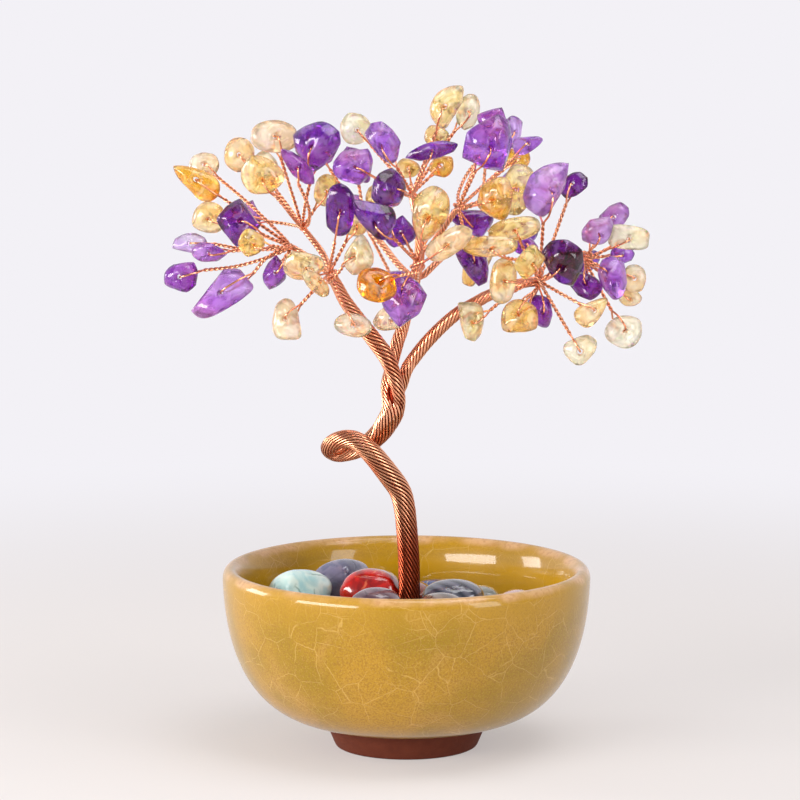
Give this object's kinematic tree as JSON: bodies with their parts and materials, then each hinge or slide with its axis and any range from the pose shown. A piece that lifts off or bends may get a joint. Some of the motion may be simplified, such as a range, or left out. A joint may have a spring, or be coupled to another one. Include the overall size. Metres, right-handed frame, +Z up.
{
  "type": "gemstone tree ornament",
  "caption": "Small gemstone tree: twisted copper-wire trunk with a pigtail loop, wire stems threaded through amethyst and citrine chips, set in a glazed clay bowl of tumbled stones.",
  "frame": {"origin": "centre of the foot ring on the surface that the bowl stands on", "axes": "+Z up, -Y towards the viewer of the picture, +X to the right as seen in it"},
  "size_m": [0.1201, 0.0916, 0.1646],
  "materials": {
    "glazed_clay": "mustard crackle glaze over red-brown clay, which shows at the foot",
    "plaster": "matt off-white cast plaster",
    "copper_wire": null,
    "amethyst": "tumbled and polished, clear to violet",
    "citrine": "tumbled and polished, clear to honey yellow",
    "aqua_stone": "polished pale aqua agate",
    "blue_grey_stone": "polished blue-grey agate",
    "carnelian_stone": "polished red carnelian",
    "plum_agate_stone": "polished plum-grey agate",
    "banded_agate_stone": "polished dark banded agate",
    "moss_agate_stone": "polished grey-green agate",
    "rose_stone": "polished rose stone",
    "jade_stone": "polished pale green stone",
    "amber_stone": "polished honey-coloured stone",
    "milk_quartz_stone": "polished milky quartz",
    "smoky_stone": "polished smoky stone",
    "jasper_stone": "polished brick-red jasper",
    "lapis_stone": "polished deep blue stone",
    "sand_stone": "polished sand-coloured stone",
    "snow_stone": "polished pale grey stone"
  },
  "bodies": {
    "root": {"amber_stone": "amber_stone", "aqua_stone": "aqua_stone", "banded_agate_stone": "banded_agate_stone", "blue_grey_stone": "blue_grey_stone", "bowl": "glazed_clay", "carnelian_stone": "carnelian_stone", "centre_branch": "copper_wire", "far_left_amethyst_chips": "amethyst", "far_left_citrine_chips": "citrine", "far_left_stems": "copper_wire", "far_left_twig": "copper_wire", "far_right_amethyst_chips": "amethyst", "far_right_citrine_chips": "citrine", "far_right_stems": "copper_wire", "far_right_twig": "copper_wire", "front_amethyst_chips": "amethyst", "front_citrine_chips": "citrine", "front_stems": "copper_wire", "front_twig": "copper_wire", "jade_stone": "jade_stone", "jasper_stone": "jasper_stone", "lapis_stone": "lapis_stone", "left_branch": "copper_wire", "mid_left_amethyst_chips": "amethyst", "mid_left_citrine_chips": "citrine", "mid_left_stems": "copper_wire", "milk_quartz_stone": "milk_quartz_stone", "moss_agate_stone": "moss_agate_stone", "plaster_fill": "plaster", "plum_agate_stone": "plum_agate_stone", "rear_left_amethyst_chips": "amethyst", "rear_left_citrine_chips": "citrine", "rear_left_stems": "copper_wire", "rear_left_twig": "copper_wire", "rear_right_amethyst_chips": "amethyst", "rear_right_citrine_chips": "citrine", "rear_right_stems": "copper_wire", "rear_right_twig": "copper_wire", "right_amethyst_chips": "amethyst", "right_branch": "copper_wire", "right_citrine_chips": "citrine", "right_stems": "copper_wire", "rose_stone": "rose_stone", "sand_stone": "sand_stone", "smoky_stone": "smoky_stone", "snow_stone": "snow_stone", "top_amethyst_chips": "amethyst", "top_citrine_chips": "citrine", "top_stems": "copper_wire", "trunk": "copper_wire", "upper_left_amethyst_chips": "amethyst", "upper_left_citrine_chips": "citrine", "upper_left_stems": "copper_wire", "upper_left_twig": "copper_wire", "upper_right_amethyst_chips": "amethyst", "upper_right_citrine_chips": "citrine", "upper_right_stems": "copper_wire", "upper_right_twig": "copper_wire"}
  },
  "joints": []
}
